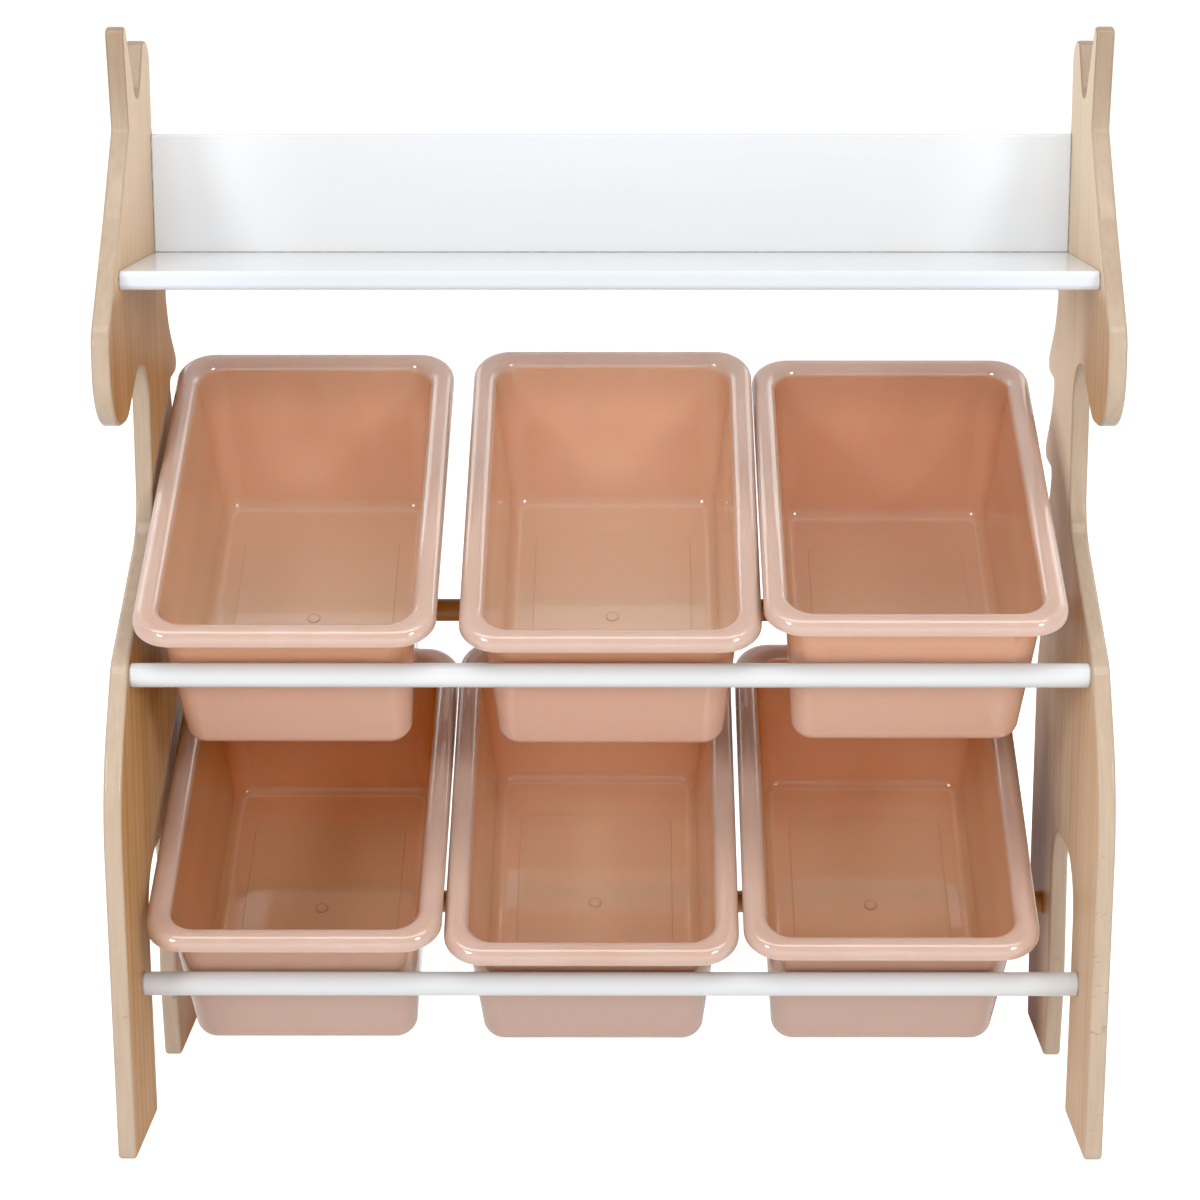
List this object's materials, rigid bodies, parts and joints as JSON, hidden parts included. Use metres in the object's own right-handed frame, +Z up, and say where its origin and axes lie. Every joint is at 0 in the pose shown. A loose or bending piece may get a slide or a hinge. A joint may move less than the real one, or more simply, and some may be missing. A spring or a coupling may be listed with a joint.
{
  "type": "toy storage shelf",
  "caption": "Free-standing toy storage unit: animal-shaped wooden sides joined by round rails and a white shelf with an upstand board, with open plastic bins leaning forward on the rails.",
  "frame": {"origin": "on the floor, in the middle of the overall box", "axes": "+X to the right seen from the front, +Y from front to back, +Z up"},
  "size_m": [0.65, 0.3283, 0.7337],
  "materials": {
    "natural_wood": "light plywood under clear gloss lacquer, upright grain",
    "rail_wood": "plain wooden rod under clear lacquer",
    "dowel_wood": "plain turned wood",
    "white_lacquer": "white gloss lacquer",
    "bin_plastic": "glossy moulded plastic, dusty pink",
    "screw_steel": "plain zinc-plated steel"
  },
  "bodies": {
    "stand": {"left_side_panel": "natural_wood", "right_side_panel": "natural_wood", "upper_front_rail": "white_lacquer", "lower_front_rail": "white_lacquer", "upper_rear_rail": "rail_wood", "lower_rear_rail": "rail_wood", "top_shelf": "white_lacquer", "shelf_back_board": "white_lacquer", "rail_screws": "screw_steel", "shelf_screws": "screw_steel", "back_board_screws": "screw_steel", "shelf_to_board_screws": "screw_steel", "shelf_dowels": "dowel_wood", "back_board_dowels": "dowel_wood"},
    "upper_left_bin": {"upper_left_bin": "bin_plastic"},
    "upper_middle_bin": {"upper_middle_bin": "bin_plastic"},
    "upper_right_bin": {"upper_right_bin": "bin_plastic"},
    "lower_left_bin": {"lower_left_bin": "bin_plastic"},
    "lower_middle_bin": {"lower_middle_bin": "bin_plastic"},
    "lower_right_bin": {"lower_right_bin": "bin_plastic"}
  },
  "joints": [
    {"name": "upper_left_bin_lift", "type": "slide", "parent": "stand", "child": "upper_left_bin", "axis": [0, -0.512, 0.859], "range_m": [0, 0.08]},
    {"name": "upper_middle_bin_lift", "type": "slide", "parent": "stand", "child": "upper_middle_bin", "axis": [0, -0.5329, 0.8462], "range_m": [0, 0.08]},
    {"name": "upper_right_bin_lift", "type": "slide", "parent": "stand", "child": "upper_right_bin", "axis": [0, -0.4679, 0.8838], "range_m": [0, 0.08]},
    {"name": "lower_left_bin_lift", "type": "slide", "parent": "stand", "child": "lower_left_bin", "axis": [0, -0.4726, 0.8813], "range_m": [0, 0.038]},
    {"name": "lower_middle_bin_lift", "type": "slide", "parent": "stand", "child": "lower_middle_bin", "axis": [0, -0.5329, 0.8462], "range_m": [0, 0.038]},
    {"name": "lower_right_bin_lift", "type": "slide", "parent": "stand", "child": "lower_right_bin", "axis": [0, -0.5075, 0.8616], "range_m": [0, 0.038]}
  ]
}
